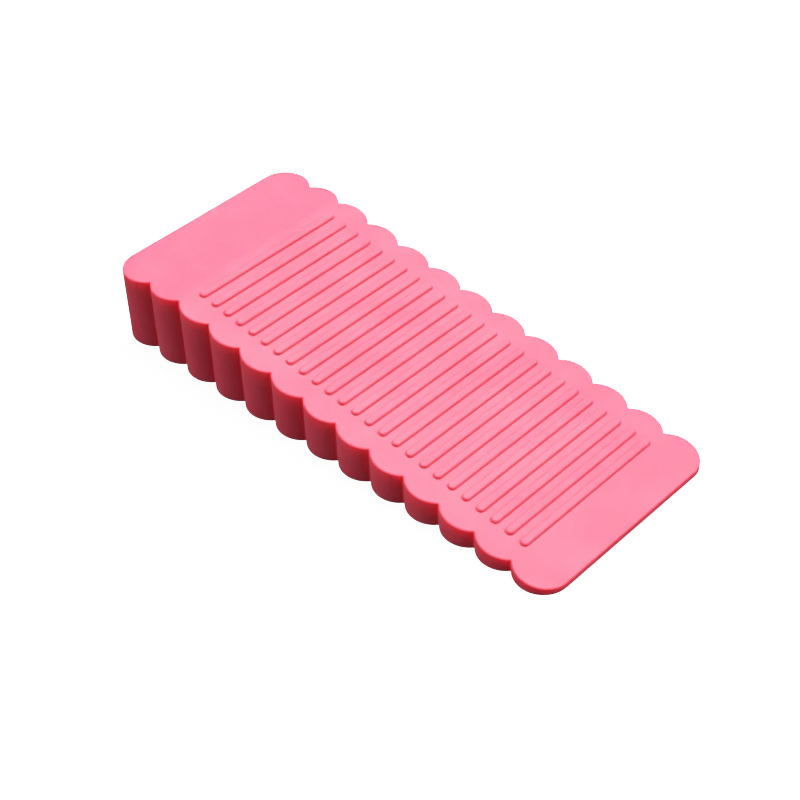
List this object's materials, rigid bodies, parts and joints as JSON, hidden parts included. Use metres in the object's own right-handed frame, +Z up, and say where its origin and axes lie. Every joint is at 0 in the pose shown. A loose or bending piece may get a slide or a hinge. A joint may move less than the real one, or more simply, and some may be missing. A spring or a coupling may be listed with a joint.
{
  "type": "door wedge",
  "caption": "Soft moulded door wedge with biscuit-scalloped sides, a smooth flat heel and round-ended grip ribs across its ramp.",
  "frame": {"origin": "centre of the flat base, at floor level", "axes": "+X runs along the wedge from the thick heel to the thin toe, +Y across it, +Z up from the floor"},
  "size_m": [0.125, 0.053, 0.0186],
  "materials": {
    "pink_silicone": "matte moulded"
  },
  "bodies": {
    "root": {"wedge_body": "pink_silicone", "grip_rib_01": "pink_silicone", "grip_rib_02": "pink_silicone", "grip_rib_03": "pink_silicone", "grip_rib_04": "pink_silicone", "grip_rib_05": "pink_silicone", "grip_rib_06": "pink_silicone", "grip_rib_07": "pink_silicone", "grip_rib_08": "pink_silicone", "grip_rib_09": "pink_silicone", "grip_rib_10": "pink_silicone", "grip_rib_11": "pink_silicone", "grip_rib_12": "pink_silicone", "grip_rib_13": "pink_silicone", "grip_rib_14": "pink_silicone", "grip_rib_15": "pink_silicone", "grip_rib_16": "pink_silicone", "grip_rib_17": "pink_silicone", "grip_rib_18": "pink_silicone", "grip_rib_19": "pink_silicone", "grip_rib_20": "pink_silicone", "grip_rib_21": "pink_silicone", "grip_rib_22": "pink_silicone", "grip_rib_23": "pink_silicone", "grip_rib_24": "pink_silicone", "grip_rib_25": "pink_silicone"}
  },
  "joints": []
}
